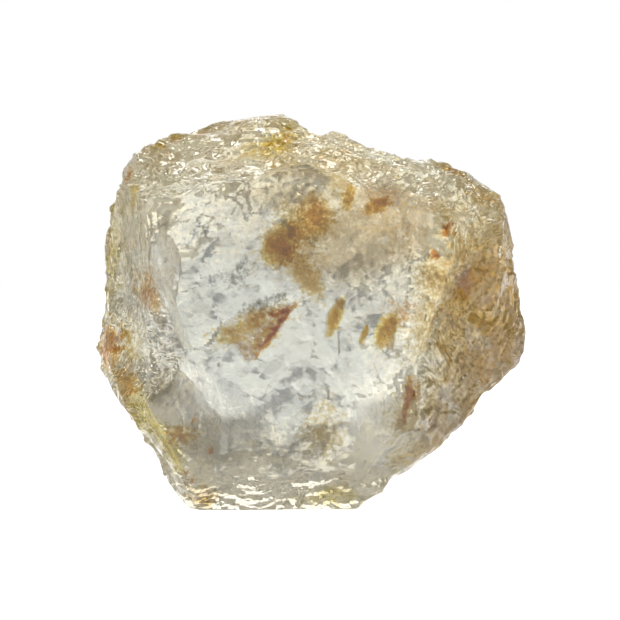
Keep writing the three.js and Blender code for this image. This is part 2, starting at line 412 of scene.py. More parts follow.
# %% The flakes
# How wide the flakes are and how deep, in millimetres
FLAKE_SIZES = ((7, 0.95), (3, 0.32), (1.5, 0.08))
FLAKE_TILT = 0.45
FLAKE_RIM = 0.75
TILT_SCATTER = 37.7
LONGER_ON_TOP = 2.2
LONGER_AT_LEFT = 2.5


def flake(place, seed):
    """The height of a cell surface: shallow tilted bowls, about one unit across, rims up."""
    place = place + Vector((seed, 0, 0))
    distances, centres = noise.voronoi(place)
    tilt = noise.cell_vector(centres[0] * TILT_SCATTER) * 2 - Vector((1, 1, 1))
    return distances[0] ** 2 + FLAKE_TILT * (place - centres[0]).dot(tilt)


def flake_stretch(point):
    """How much longer than wide the flakes are along X, Y and Z at a point."""
    across, up = (point.x - low.x) / size.x, (point.z - low.z) / size.z
    top_left = step(up, 0.78, 0.86) * (1 - step(across, 0.45, 0.6))
    left = (1 - step(across, 0.06, 0.16)) * step(up, 0.3, 0.45)
    return Vector((1 + LONGER_ON_TOP * top_left, 1, 1 + LONGER_AT_LEFT * left))


def flake_depth(point):
    stretch = flake_stretch(point)
    place = Vector((point.x / stretch.x, point.y / stretch.y, point.z / stretch.z))
    depth = 0
    for number, (width, most) in enumerate(FLAKE_SIZES):
        depth += most * MM * (FLAKE_RIM - flake(place / (width * MM), 10 * number))
    return max(depth, 0)


print("flakes", [width for width, _ in FLAKE_SIZES], "mm wide")


# %% [markdown]
# ## Steps
# A hard blow also leaves steps, like stacked shells. The distance from a point outside the chunk is cut
# into even rings. Within a ring the surface slopes slowly, and at its end it drops. Noise bends the
# rings, so that no edge is a clean arc.

# %% The steps
# The middle of each, its radii in millimetres, the point that the steps run round, and their pitch and
# depth in millimetres
STEPS = (
    ((0.28, 0.1, 0.9), (30, 26, 11), (0.35, 0.1, -1.5), 2.6, 0.7),
    ((0.78, 0.1, 0.86), (22, 20, 11), (0.5, 0.1, 1.3), 2.4, 0.9),
    ((0.03, 0.2, 0.62), (10, 26, 24), (-2, 0.2, 0.5), 1.8, 0.7),
    ((0.45, 0.1, 0.05), (30, 22, 9), (0.4, 0.1, 1.9), 2.2, 0.6),
    ((0.95, 0.2, 0.42), (16, 30, 24), (0.55, 0.1, 0.7), 2.2, 0.45),
    ((0.35, 1, 0.75), (26, 14, 18), (0.6, 1, 1.4), 3.4, 0.25),
    ((0.8, 1, 0.35), (20, 14, 20), (0.2, 1, 0), 3, 0.4),
)
BEND_WIDTH = 9 * MM
BEND = 1.3


def step_depth(point):
    """How deep the stepped breaks press a point in: a slow slope, then a sharp edge."""
    depth = 0
    bend = noise.fractal(point / BEND_WIDTH, 1, 2, 4)
    for centre, radii, focus, pitch, most in STEPS:
        away = point - at(*centre)
        reach = Vector((away.x / radii[0], away.y / radii[1], away.z / radii[2])).length / MM
        if reach < 1:
            turn = (point - at(*focus)).length / (pitch * MM) + BEND * bend
            depth += (turn - math.floor(turn)) * most * MM * (1 - step(reach, 0.6, 1))
    return depth


print(len(STEPS), "stepped breaks")


# %% [markdown]
# ## Pressing them in
# Every point moves along its own normal, and none leaves the solid's box. The window and the foot stay
# flat: the pressing starts just off those two planes. How polished a point is gets stored on it, for the
# material to read.

# %% The points are pressed in
FLAT_EDGE = 0.15 * MM
FLAT_FADE = 1 * MM
POLISH_FADE = 0.4 * MM
MEAN_DEPTH = 0.55 * MM
SHARP_EDGE = math.radians(28)


def within_box(point):
    return Vector([min(max(point[i], low[i]), high[i]) for i in range(3)])


def press_in(piece):
    mesh = piece.data
    polished = mesh.attributes.new("polished", "FLOAT", "POINT")
    moved = []
    for vert in mesh.vertices:
        point = vert.co
        polished.data[vert.index].value = 1 - step(point.y - low.y, FLAT_EDGE, POLISH_FADE)
        broken = step(min(point.y - low.y, point.z - low.z), FLAT_EDGE, FLAT_FADE)
        depth = flake_depth(point) + step_depth(point) - MEAN_DEPTH
        moved.append(within_box(point - vert.normal * depth * broken))
    for vert, place in zip(mesh.vertices, moved):
        vert.co = place
    for face in mesh.polygons:
        face.use_smooth = True
    mesh.set_sharp_from_angle(angle=SHARP_EDGE)


press_in(crystal)
lowest = [round(min(v.co[i] for v in crystal.data.vertices) / MM, 2) for i in range(3)]
print("crystal from", lowest, "mm")

# %% [markdown]
# ## Patterns of the surface
# Four effects make up the finish: ragged edges, small leaning chips, ledges, and stains. Each is a
# shader group with named inputs, so that its numbers are changed in one place. The groups give out
# places, directions, values and colours. The shader stays in the material.

# %% The group for ragged edges
def ragged_place_group():
    """The place in the chunk, pushed about by noise, so that what is drawn with it is ragged."""
    inputs = [("Width", "Float"), ("Push", "Float"), ("Detail", "Float")]
    group, given, put = new_group("ragged place", inputs, [("Place", "Vector")])
    place = object_place(group)
    wobble = grain_noise(group, place, given["Width"], given["Detail"], 0.65)["Color"]
    centred = vectors(group, "SUBTRACT", wobble, (0.5, 0.5, 0.5))
    push = scaled(group, centred, product(group, given["Push"], 2 * MM))
    wire(group, vectors(group, "ADD", place, push), put["Place"])
    return group


ragged_place = ragged_place_group()
print("group:", ragged_place.name)


# %% The group for small chips
def chips_group():
    """A lean and a tone for the surface, different on every small chip and the same all over one."""
    inputs = [("Place", "Vector"), ("Chip width", "Float"), ("Lean", "Float")]
    group, given, put = new_group("chips", inputs, [("Lean", "Vector"), ("Tone", "Float")])
    scale = maths(group, "DIVIDE", 1 / MM, given["Chip width"])
    cells = add(group, "TexVoronoi", Vector=given["Place"], Scale=scale)
    centred = vectors(group, "SUBTRACT", cells["Color"], (0.5, 0.5, 0.5))
    wire(group, scaled(group, centred, given["Lean"]), put["Lean"])
    wire(group, add(group, "SeparateXYZ", Vector=cells["Color"])["Y"], put["Tone"])
    return group


chips = chips_group()
print("group:", chips.name)


# %% [markdown]
# Ledges are terraces. A hilly noise is multiplied, and only the part after the point is kept, so that
# the height climbs and drops again and again.

# %% The group for ledges
def ledges_group():
    """Small steps, like the contour lines of a hilly map, and a thin line at each edge."""
    inputs = [("Place", "Vector"), ("Width", "Float"), ("Steps", "Float"), ("Line", "Float")]
    group, given, put = new_group("ledges", inputs, [("Height", "Float"), ("Line", "Float")])
    hills = grain_noise(group, given["Place"], given["Width"])["Fac"]
    height = maths(group, "FRACT", product(group, hills, given["Steps"]))
    wire(group, height, put["Height"])
    edge = maths(group, "SUBTRACT", 1, height)
    wire(group, remap(group, edge, 0, given["Line"], 1, 0), put["Line"])
    return group


ledges = ledges_group()
print("group:", ledges.name)


# %% [markdown]
# A stain is a skin of iron that lets some colours through. Twice the skin lets through the square of
# each colour, so its thickness is the power that the colour is raised to, and it multiplies what lies
# under it. Mixing in a flat colour would look like paint.

# %% The group for a stain
BLOTCHY = 3.2
THICKEST = 1.2


def stain_group():
    """Tints a colour with another where a mask is high, more the thicker it lies, in blotches."""
    inputs = [("Under", "Color"), ("Over", "Color"), ("Mask", "Float")]
    inputs += [("Blotches", "Float"), ("Cover", "Float")]
    group, given, put = new_group("stain", inputs, [("Colour", "Color")])
    broken = maths(group, "ADD", given["Mask"], product(group, given["Blotches"], BLOTCHY))
    thickness = product(group, remap(group, broken, 0, 0.9, 0, THICKEST), given["Cover"])
    skin = add(group, "Gamma", Color=given["Over"], Gamma=thickness)
    wire(group, vectors(group, "MULTIPLY", given["Under"], skin["Color"]), put["Colour"])
    return group


stain = stain_group()
print("group:", stain.name)


# %% [markdown]
# ## Where the colours are
# Water with iron in it left yellow, orange and brown skins on the broken sides and in the cracks. Each
# colour has a few egg-shaped regions, given by a strength, a centre in parts of the box, three radii in
# millimetres and a turn in degrees. Noise frays their edges later, so a few plain shapes are enough.

# %% Colours of the stone
CLEAR = (0.52, 0.54, 0.54)
GREY = (0.44, 0.45, 0.45)
WARM = (0.76, 0.72, 0.60)
# Painted shade for the crevices at the ledge edges
CREVICE_SHADE = (0.06, 0.045, 0.025)
PALE = (0.96, 0.92, 0.72)
BEIGE = (0.70, 0.58, 0.38)
HONEY = (0.52, 0.32, 0.08)
SMOKE = (0.50, 0.48, 0.42)
SLATE = (0.30, 0.30, 0.28)
SOOT = (0.08, 0.08, 0.07)
GOLD = (0.70, 0.42, 0.03)
OCHRE = (0.46, 0.21, 0.012)
RUST = (0.44, 0.09, 0.004)
ORANGE = (0.80, 0.26, 0.03)
LEMON = (0.92, 0.78, 0.22)
# White for ice and for painted highlights on ridge crests and glints
WHITE_ICE_AND_HIGHLIGHT = (0.92, 0.92, 0.89)
WHITE_FLECK = (0.95, 0.95, 0.93)
# The pale of the painted highlight on single chips
PALE_CHIP_HIGHLIGHT = (0.96, 0.92, 0.80)
print("the clear heart is", CLEAR)

# %% Regions of the stains
HEART = ((0.42, 0.5, 0.46), (32, 100, 30), 0)
STAINS = {
    "orange": (ORANGE, 0.75, (
        (1.1, (0.02, 0.2, 0.41), (5, 14, 6), 0),
        (1, (0.128, 0, 0.55), (3.2, 8, 6), 10),
        (0.8, (0.08, 0.1, 0.33), (2.5, 10, 5), 25),
        (1, (0.255, 0.3, 0.955), (2, 9, 1.4), 20),
        (0.5, (0.985, 0.2, 0.38), (1.6, 14, 4), 10),
    )),
    "lemon": (LEMON, 1, (
        (1.6, (0.12, 0.1, 0.23), (5, 14, 15), 36),
        (1, (0.03, 0.2, 0.62), (3, 16, 20), -6),
        (1, (0.42, 0.2, 0.925), (8, 12, 3), 21),
        (0.4, (0.53, 0.1, 0.03), (6, 8, 1.6), 0),
    )),
    "beige": (BEIGE, 0.8, (
        (0.6, (0.45, 0.4, 1), (60, 40, 11), 0),
        (2, (0.5, 0.1, 0.87), (14, 16, 4.2), 0),
        (1.9, (0.6, 0, 0.68), (12, 8, 10), 0),
        (1.2, (0.47, 0, 0.8), (14, 8, 4), 0),
        (1, (0.5, 1, 0.6), (26, 9, 9), -25),
    )),
    "pale": (PALE, 0.9, (
        (1, (0, 0.4, 0.62), (8, 40, 26), 0),
        (1, (0.539, 0, 0.836), (1, 6, 1.2), 0),
        (1, (0.523, 0.1, 0.028), (7, 8, 2), 0),
    )),
    "honey": (HONEY, 0.9, (
        (2, (1, 0.4, 0.48), (26, 60, 34), 0),
        (1.4, (0.86, 0.4, 0.18), (18, 60, 18), 30),
        (1.6, (0.49, 0, 0.6), (3, 8, 7), 25),
        (0.6, (0.528, 0, 0.2), (4, 8, 5), 0),
        (1, (0.251, 0.1, 0.036), (3.2, 8, 2.6), 0),
    )),
    "smoke": (SMOKE, 0.85, (
        (2, (0.32, 0, 0.185), (12, 8, 6), 0),
        (0.9, (0.454, 0, 0.162), (8, 8, 5), 0),
        (1.2, (0.177, 0, 0.304), (6, 8, 5), 0),
        (0.7, (0.8, 0.1, 0.239), (11, 12, 8), 20),
    )),
    "soot": (SOOT, 0.8, (
        (0.5, (0.177, 0, 0.735), (4.5, 6, 1.3), 25),
        (0.5, (0.4, 0, 0.53), (6, 6, 1.2), 20),
        (0.3, (0.2, 0, 0.66), (5, 6, 1), 40),
        (0.3, (0.34, 0, 0.6), (3, 6, 2), 30),
    )),
    "gold": (GOLD, 0.9, (
        (0.8, (0.03, 0.6, 0.35), (6, 26, 12), 0),
        (1.5, (0.42, 0.2, 0.925), (6, 12, 2.2), 21),
        (1.2, (0.154, 0.3, 0.92), (1.6, 9, 1.2), 40),
        (1, (0.103, 0.1, 0.8), (1.1, 8, 3.6), -10),
        (1.6, (0.555, 0, 0.484), (1.6, 5, 4.4), -25),
        (1.6, (0.62, 0, 0.445), (0.9, 5, 2.9), -20),
        (1.8, (0.673, 0, 0.458), (2.1, 5, 4.8), -25),
        (1.2, (0.985, 0.2, 0.38), (1.8, 14, 4.5), 10),
        (1.3, (0.209, 0, 0.193), (3.6, 8, 2), -10),
        (0.4, (0.897, 0.1, 0.605), (3, 8, 1.8), 10),
    )),
    "ochre": (OCHRE, 0.9, (
        (1, (0.62, 0.9, 0.85), (9, 9, 5), 20),
        (0.9, (0.48, 1, 0.7), (9, 8, 8), 40),
        (1, (0.8, 1, 0.5), (6, 8, 10), 20),
        (1.2, (0.19, 0.3, 0.94), (1.8, 9, 1.2), 20),
        (1.2, (0.82, 0.4, 0.86), (4.4, 12, 1.4), -20),
        (1.3, (0.509, 0, 0.745), (3.8, 8, 5.4), 0),
        (1.1, (0.472, 0, 0.707), (4, 8, 3), 0),
        (1.3, (0.44, 0, 0.67), (4.2, 8, 4.2), 0),
        (0.8, (0.37, 0, 0.475), (8, 5, 2.6), 25),
        (1, (0.4, 0, 0.45), (2.6, 5, 6), -38),
        (1.5, (0.585, 0, 0.79), (1.6, 6, 2.6), -20),
        (1.6, (0.65, 0, 0.767), (3, 6, 1.5), 15),
        (1.5, (0.722, 0, 0.286), (1.1, 5, 5.4), -6),
        (1.1, (0.02, 0.3, 0.68), (1.3, 16, 17), -6),
        (0.6, (0.09, 0.1, 0.42), (3, 10, 4), 20),
        (1.1, (0.1, 0.2, 0.2), (0.9, 12, 8), 30),
        (0.4, (0.209, 0, 0.193), (3.4, 8, 1.7), -10),
        (1.1, (0.846, 0.1, 0.574), (1.8, 8, 3.4), -10),
    )),
    "rust": (RUST, 0.9, (
        (0.9, (0.72, 1, 0.48), (5, 8, 3), 30),
        (0.8, (0.45, 0.2, 0.935), (1.8, 8, 1.2), 21),
        (1.1, (0.255, 0.3, 0.955), (1.4, 9, 1), 20),
        (1, (0.084, 0.2, 0.85), (1.2, 9, 1.8), 0),
        (1.2, (0.418, 0, 0.455), (0.8, 5, 8.2), -38),
        (0.9, (0.43, 0, 0.505), (4, 5, 0.9), 12),
        (1.2, (0.239, 0, 0.226), (0.6, 6, 0.8), 0),
        (1.2, (0.223, 0, 0.093), (0.6, 6, 1), 0),
        (1.2, (0.238, 0, 0.075), (0.6, 6, 1), 0),
        (1.2, (0.274, 0, 0.152), (0.5, 6, 0.9), 0),
        (0.8, (0.816, 0, 0.715), (1.5, 8, 1.5), 0),
        (0.9, (0.777, 0, 0.651), (0.9, 6, 1.5), 0),
    )),
}
print(len(STAINS), "stains in", sum(len(regions) for _, _, regions in STAINS.values()), "regions")

# %% [markdown]
# Some places of the stone are painted white, for ice and as highlights, some are calm, and some sparkle
# with small chips. The tables below say where, with the same kind of regions.

# %% Regions of ice, calm and sparkle
# Where the stone is painted white. The wide ones are ice; the thin ones are painted highlights along the
# crests of ridges
WHITE_ICE_AND_HIGHLIGHT_REGIONS = (
    ((0.735, 0, 0.48), (2.6, 8, 8), -18),
    ((0.66, 0, 0.25), (9, 8, 13), -20),
    ((0.177, 0, 0.605), (2.6, 8, 8), 8),
    ((0.255, 0, 0.31), (9, 8, 4), -45),
    ((0.14, 0, 0.2), (4, 8, 12), 36),
    # Painted light: this one lifts the shade on the spur at the left edge
    ((0.03, 0.2, 0.4), (5, 14, 7), 0),
    ((0.119, 0, 0.75), (0.6, 8, 7.5), -36),
    ((0.165, 0, 0.52), (0.6, 8, 11), 27),
    ((0.1, 0, 0.5), (0.6, 8, 14), 12),
    ((0.19, 0, 0.4), (2.4, 8, 3.5), 20),
    ((0.215, 0, 0.31), (0.7, 8, 4), -15),
    ((0.175, 0, 0.27), (0.7, 8, 4), -25),
    ((0.075, 0, 0.33), (0.9, 8, 5), 25),
    ((0.125, 0, 0.2), (0.6, 8, 9), 38),
    ((0.16, 0, 0.12), (0.6, 8, 7), 30),
    ((0.3, 0, 0.83), (14, 8, 0.7), 12),
    # These two are painted glints on the top right
    ((0.58, 0, 0.84), (4, 8, 3), -25),
    ((0.74, 0, 0.8), (4, 8, 1.5), -20),
)
# Where the break is calm, with few small chips. Each region starts with its strength
CALM = (
    (1, (0.84, 0.1, 0.2), (24, 40, 12), 40),
    (1, (0.97, 0.2, 0.64), (6, 30, 14), 0),
    (1, (0.13, 0.1, 0.42), (6, 14, 6), -20),
    (1, (0.38, 0.1, 0.95), (14, 14, 5), 20),
    (0.6, (0.24, 0.1, 0.92), (18, 20, 8), 15),
    (1, (0.5, 0.1, 0.87), (14, 14, 4), 0),
    (1, (0.76, 0.1, 0.58), (6, 20, 9), 0),
    (1, (0.42, 0.8, 0.8), (24, 26, 9), 10),
)
# Where many small chips sparkle. Each region starts with its strength
SPARKLING = (
    (1.3, (0.79, 0.1, 0.83), (22, 30, 8), -18),
    (1, (0.14, 0.1, 0.5), (5, 12, 14), 25),
    (1, (0.38, 0.1, 0.04), (22, 14, 5), 0),
    (1.5, (0.05, 0.2, 0.68), (6, 20, 18), 0),
    (1, (0.13, 0.1, 0.2), (6, 14, 12), 35),
    (1, (0.82, 0.1, 0.5), (7, 14, 7), 0),
)
# Where the chips are glassy, with clean bright glints
GLASSY = (
    ((0.25, 0.1, 0.92), (22, 30, 9), 15),
    ((0.79, 0.1, 0.84), (20, 30, 8), -20),
    ((0.94, 0.2, 0.52), (5, 20, 5), 0),
)
# Where long chips lie along the left and the right side, and where the window is icy
LEFT_SIDE = ((0, 0.3, 0.6), (12, 60, 32), 0)
RIGHT_SIDE = ((1, 0.3, 0.45), (24, 60, 30), 0)
ICY_WINDOW = ((0.64, 0, 0.32), (14, 20, 20), 0)
FROSTED_END = ((1, 0.3, 0.45), (30, 60, 44), 0)
print(len(WHITE_ICE_AND_HIGHLIGHT_REGIONS), "icy,", len(CALM), "calm and", len(SPARKLING), "sparkling places")


# %% [markdown]
# ## Masks on the points
# The regions are worked out once for every point of the mesh and stored on it. The material reads them
# by name. That is quicker than long chains of nodes, and the masks stay with the piece.

# %% How far inside a region
FRAY_WIDTH = 6 * MM
FRAY = 0.8 * MM


def frayed_places(mesh):
    """Where each point is, pushed about a little, so that the regions get uneven skins."""
    places = np.empty(3 * len(mesh.vertices), dtype=np.float32)
    mesh.vertices.foreach_get("co", places)
    places = places.reshape(-1, 3)
    pushes = [noise.turbulence_vector(Vector(place) / FRAY_WIDTH, 3, False) for place in places]
    return places + np.array(pushes) * FRAY


def inside(places, centre, radii, turn):
    """1 in the middle of an egg-shaped region, 0 on its skin and below 0 outside, for many places."""
    away = (places - np.array(at(*centre))) / MM
    angle = math.radians(turn)
    across = away[:, 0] * math.cos(angle) + away[:, 2] * math.sin(angle)
    up = away[:, 2] * math.cos(angle) - away[:, 0] * math.sin(angle)
    parts = np.stack([across / radii[0], away[:, 1] / radii[1], up / radii[2]])
    return 1 - np.sqrt((parts**2).sum(0))


def filled(places, region, steepness):
    """1 well inside a region, falling to 0 at its skin."""
    return np.clip(steepness * inside(places, *region), 0, 1)


# %% Masks on the points
LIE_LEFT = 1.35
LIE_RIGHT = -0.7
FRONT_END = 0.75
FRONT_FADE = 0.35


def store(mesh, name, values):
    layer = mesh.attributes.new(name, "FLOAT", "POINT")
    layer.data.foreach_set("value", np.asarray(values, dtype=np.float32))


def strongest(places, regions):
    return np.max([strength * filled(places, region, 3) for strength, *region in regions], axis=0)


def store_masks(mesh):
    places = frayed_places(mesh)
    for name, (_, _, regions) in STAINS.items():
        masks = [strength * inside(places, *region) for strength, *region in regions]
        store(mesh, name, np.clip(np.max(masks, axis=0), -1, 1))
    store(mesh, "clear", inside(places, *HEART))
    left, right = (filled(places, region, 3) for region in (LEFT_SIDE, RIGHT_SIDE))
    store(mesh, "lie", LIE_LEFT * left + LIE_RIGHT * right)
    store(mesh, "ice_and_highlights", np.max([filled(places, region, 2.5) for region in WHITE_ICE_AND_HIGHLIGHT_REGIONS], axis=0))
    store(mesh, "lively", strongest(places, SPARKLING) - strongest(places, CALM))
    store(mesh, "glassy", np.max([filled(places, region, 3) for region in GLASSY], axis=0))
    store(mesh, "icy", filled(places, ICY_WINDOW, 2))
    store(mesh, "frosted", filled(places, FROSTED_END, 2))
    back = (places[:, 1] - low.y) / size.y
    store(mesh, "front", np.clip((FRONT_END - back) / FRONT_FADE, 0, 1))


store_masks(crystal.data)
print("masks", [layer.name for layer in crystal.data.attributes])


# %% [markdown]
# ## The colour of the quartz
# Its heart is clear and cool, with grey clouds, white flecks and short dark dashes. Round the heart the
# stone is warm, with white painted for ice and as highlights on ridge crests. The stains go over all of
# it. Then some chips get a painted highlight and some painted shade, and the edges of the ledges a thin
# dark line of painted shade, as in a crevice.

# %% Patterns that the colour and the relief share
COARSE_CHIPS = {"Chip_width": 4.5, "Lean": 0.5}
FINE_CHIPS = {"Chip_width": 2.6, "Lean": 0.7}
LEDGES = {"Width": 11, "Steps": 12, "Line": 0.14}
DRAWN_OUT = (1, 1.3, 2.2)


def shared_patterns(tree):
    """Each pattern by its name. Chips and ledges are drawn out along the steps of the break."""
    ragged = use_group(tree, ragged_place, Width=6, Push=3, Detail=5)["Place"]
    swirled = use_group(tree, ragged_place, Width=9, Push=3, Detail=1)["Place"]
    along = vectors(tree, "MULTIPLY", turned(tree, swirled, read(tree, "lie")), DRAWN_OUT)
    made = {name: read(tree, name) for name in ("front", "lively", "frosted", "glassy")}
    made["broken"] = maths(tree, "SUBTRACT", 1, read(tree, "polished"))
    made["relief"] = product(tree, made["broken"], remap(tree, made["front"], 0, 1, 0.45, 1))
    made["coarse"] = use_group(tree, chips, Place=swirled, **COARSE_CHIPS)
    made["fine"] = use_group(tree, chips, Place=along, **FINE_CHIPS)
    made["ledges"] = use_group(tree, ledges, Place=along, **LEDGES)
    made["speckle"] = grain_noise(tree, object_place(tree), 1.1, 6, 0.75)["Fac"]
    made["cloud"] = grain_noise(tree, ragged, 8, 4, 0.6)["Fac"]
    both = maths(tree, "ADD", made["speckle"], product(tree, made["cloud"], 0.6))
    made["blotches"] = maths(tree, "SUBTRACT", both, 0.8)
    return made


# %% Colour
def milky_colour(tree, made):
    """Clear and cool in the heart, warm round it, with grey clouds, white flecks and dark dashes."""
    heart = maths(tree, "ADD", read(tree, "clear"), product(tree, made["blotches"], 2.4))
    heart = remap(tree, heart, -0.05, 0.3)
    colour = blend(tree, heart, WARM, CLEAR)
    grey = product(tree, remap(tree, made["cloud"], 0.45, 0.7, 0, 0.4), heart)
    colour = blend(tree, grey, colour, GREY)
    upright = fibres(tree, 15, 1.2, 4)
    leant = fibres(tree, 60, 1.6, 2.5)
    icy = product(tree, remap(tree, upright, 0.46, 0.62, 0, 0.6), read(tree, "icy"))
    colour = blend(tree, icy, colour, SLATE)
    near = product(tree, heart, remap(tree, made["front"], 0.5, 1))
    crossed = maths(tree, "ADD", leant, product(tree, upright, 0.5))
    flecks = product(tree, remap(tree, crossed, 0.8, 0.95, 0, 0.6), near)
    colour = blend(tree, flecks, colour, WHITE_FLECK)
    # White painted for ice, and as painted highlights on ridge crests and glints
    ice_and_highlights = product(tree, read(tree, "ice_and_highlights"), remap(tree, upright, 0.4, 0.6, 0.2, 0.9))
    colour = blend(tree, ice_and_highlights, colour, WHITE_ICE_AND_HIGHLIGHT)
    dashes = product(tree, remap(tree, leant, 0.35, 0.29, 0, 0.5), near)
    return blend(tree, dashes, colour, SLATE)


def stained_colour(tree, colour, blotches):
    for name, (over, cover, _) in STAINS.items():
        values = {"Under": colour, "Over": (*over, 1), "Mask": read(tree, name)}
        colour = use_group(tree, stain, **values, Blotches=blotches, Cover=cover)["Colour"]
    return colour


def chip_light_and_shade(tree, colour, made):
    """Some chips are darker and ochre brown, some lighter and pale: painted shade and painted highlight
    of single facets.
    """
    tone = made["coarse"]["Tone"]
    shaded_chip = product(tree, remap(tree, tone, 0, 0.5, 0.25, 0), made["relief"])
    colour = blend(tree, shaded_chip, colour, OCHRE)
    lit_chip = product(tree, remap(tree, tone, 0.7, 1, 0, 0.35), made["relief"])
    return blend(tree, lit_chip, colour, PALE_CHIP_HIGHLIGHT)


def ledge_shade_lines(tree, made):
    """The thin dark lines of painted shade at the ledge edges, broken up by noise, and few of them at
    the back and in calm places.
    """
    gaps = product(tree, made["relief"], remap(tree, made["speckle"], 0.42, 0.52))
    lines = product(tree, made["ledges"]["Line"], gaps, remap(tree, made["front"], 0.2, 1))
    return product(tree, lines, remap(tree, made["lively"], -1, 0, 0.2, 1))


# %% [markdown]
# ## The relief of the quartz
# The smallest chips are too many to model, so they lean the shading normal instead, and each chip sends
# the light its own way. The lean has a limit, because a normal that leans too far gives black dots. A
# little bump adds grit and the ledges.

# %% Relief
MOST_LEAN = 0.75
MOST_GLASSY_LEAN = 0.3
GLASSY_BUMP = 0.12
BUMP_STRENGTH = 0.6
BUMP_HEIGHT = 0.7 * MM


def leant_normal(tree, made, lively):
    """The normal, leant by the coarse and the fine chips, but never past the limit."""
    swing = remap(tree, made["cloud"], 0.4, 0.6, 1, 0.4)
    large = scaled(tree, made["coarse"]["Lean"], lively)
    small = scaled(tree, made["fine"]["Lean"], product(tree, lively, swing))
    lean = scaled(tree, vectors(tree, "ADD", large, small), made["relief"])
    most = remap(tree, made["glassy"], 0, 1, MOST_LEAN, MOST_GLASSY_LEAN)
    share = maths(tree, "DIVIDE", most, vectors(tree, "LENGTH", lean))
    lean = scaled(tree, lean, maths(tree, "MINIMUM", share, 1))
    leant = vectors(tree, "ADD", add(tree, "NewGeometry")["Normal"], lean)
    return vectors(tree, "NORMALIZE", leant)


def relief_normal(tree, made):
    """The leant normal with a bump of grit and ledges on top."""
    lively = maths(tree, "MULTIPLY_ADD", made["lively"], 0.75, 1)
    grit = product(tree, made["speckle"], remap(tree, made["frosted"], 0, 1, 0.12, 0.25))
    stepped = product(tree, made["ledges"]["Height"], remap(tree, made["front"], 0, 1, 0.2, 1))
    height = product(tree, maths(tree, "ADD", grit, stepped), made["relief"])
    height = product(tree, height, remap(tree, made["glassy"], 0, 1, 1, GLASSY_BUMP), lively)
    leant = leant_normal(tree, made, lively)
    bumped = add(tree, "Bump", Strength=BUMP_STRENGTH, Distance=BUMP_HEIGHT, Height=height, Normal=leant)
    return bumped["Normal"]


def skin_roughness(tree, made):
    """Smooth on the window, a little rougher on the broken sides and at the back."""
    grain = product(tree, made["broken"], remap(tree, made["frosted"], 0, 1, 0.02, 0.08))
    return maths(tree, "ADD", grain, remap(tree, made["front"], 0, 1, 0.16, 0.02))


# %% [markdown]
# ## The quartz itself
# Quartz is clear and bends light by an IOR of 1.544. A little light is scattered at the skin, which
# keeps the stains visible. Light that goes a long way through the chunk comes out a faint yellow-grey,
# and plain volume absorption does that.

# %% The quartz material
QUARTZ_IOR = 1.544
CLEARNESS = 0.88
INNER_TINT = (0.74, 0.725, 0.62, 1)
INNER_DENSITY = 26


def quartz_material():
    material, tree, shader = new_material("quartz", IOR=QUARTZ_IOR, Transmission_Weight=CLEARNESS)
    made = shared_patterns(tree)
    colour = stained_colour(tree, milky_colour(tree, made), made["blotches"])
    # Painted highlight and painted shade on the chips, and painted shade in the crevices at the ledge
    # edges
    colour = blend(tree, ledge_shade_lines(tree, made), chip_light_and_shade(tree, colour, made), CREVICE_SHADE)
    rough, normal = skin_roughness(tree, made), relief_normal(tree, made)
    fill(tree, shader, Base_Color=colour, Roughness=rough, Normal=normal)
    inner = add(tree, "VolumeAbsorption", Color=INNER_TINT, Density=INNER_DENSITY)
    fill(tree, tree.nodes["Material Output"], Volume=inner["Volume"])
    return material


crystal.data.materials.clear()
crystal.data.materials.append(quartz_material())
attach(crystal, "root")
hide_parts("quartz_crystal")
print("quartz has", len(crystal.data.materials[0].node_tree.nodes), "nodes")


# %% [markdown]
# ## Cracks inside
# Iron and gas got into old cracks, which then healed. Through the window they are feathers, clouds and
# slivers deep in the stone. Each is a thin closed sheet: a flat outline, cut into small faces and made
# solid, and then leant back and crumpled. Painted on the window they would not move against the back
# when the stone is turned.

# %% A flat sheet
SHEET_THICKNESS = 0.12 * MM
LONGEST_EDGE = 0.9 * MM
CUTS = 6


def flat_sheet(outline):
    """A thin closed slab with the given outline, cut into small faces."""
    bm = bmesh.new()
    bm.faces.new([bm.verts.new((x, 0, z)) for x, z in outline])
    bmesh.ops.triangulate(bm, faces=bm.faces)
    for _ in range(CUTS):
        long = [edge for edge in bm.edges if edge.calc_length() > LONGEST_EDGE]
        bmesh.ops.subdivide_edges(bm, edges=long, cuts=1)
        bmesh.ops.triangulate(bm, faces=bm.faces)
    bmesh.ops.solidify(bm, geom=bm.faces[:], thickness=SHEET_THICKNESS)
    bmesh.ops.recalc_face_normals(bm, faces=bm.faces)
    return bm


def from_rim(x, z, outline):
    """How far a place is from the nearest side of a closed outline."""
    nearest = 1
    for start, end in zip(outline, outline[1:] + outline[:1]):
        side = end - start
        along = min(max((Vector((x, z)) - start).dot(side) / side.length_squared, 0), 1)
        nearest = min(nearest, (start + side * along - Vector((x, z))).length)
    return nearest


# %% [markdown]
# A sheet has to stay inside the stone. Rays shot from the front find the stone's skin at five places
# round each point of a sheet, and the point is kept behind the deepest of them.

# %% Below the skin
SKIN = 0.7 * MM
ASIDE = 0.8 * MM
RAY_START = 5 * MM


def tree_of(piece):
    """A tree of a piece's faces, which finds quickly where a ray hits it."""
    bm = bmesh.new()
    bm.from_mesh(piece.data)
    bmesh.ops.triangulate(bm, faces=bm.faces)
    found = BVHTree.FromBMesh(bm)
    bm.free()
    return found


body = tree_of(crystal)


def below_skin(x, z):
    """How near to the front a crack may come: a little behind the skin all round it."""
    starts = [(x, z), (x - ASIDE, z), (x + ASIDE, z), (x, z - ASIDE), (x, z + ASIDE)]
    hits = [body.ray_cast(Vector((x, low.y - RAY_START, z)), Vector((0, 1, 0)))[0] for x, z in starts]
    return max([hit.y + SKIN for hit in hits if hit], default=low.y)


print("the window lies at", round(body.find_nearest(at(0.45, 0, 0.5))[0].y / MM, 2), "mm")


# %% A bent sheet
CRUMPLE = 0.8 * MM
CRUMPLE_WIDTH = 6 * MM
CRUMPLE_SHIFT = 900


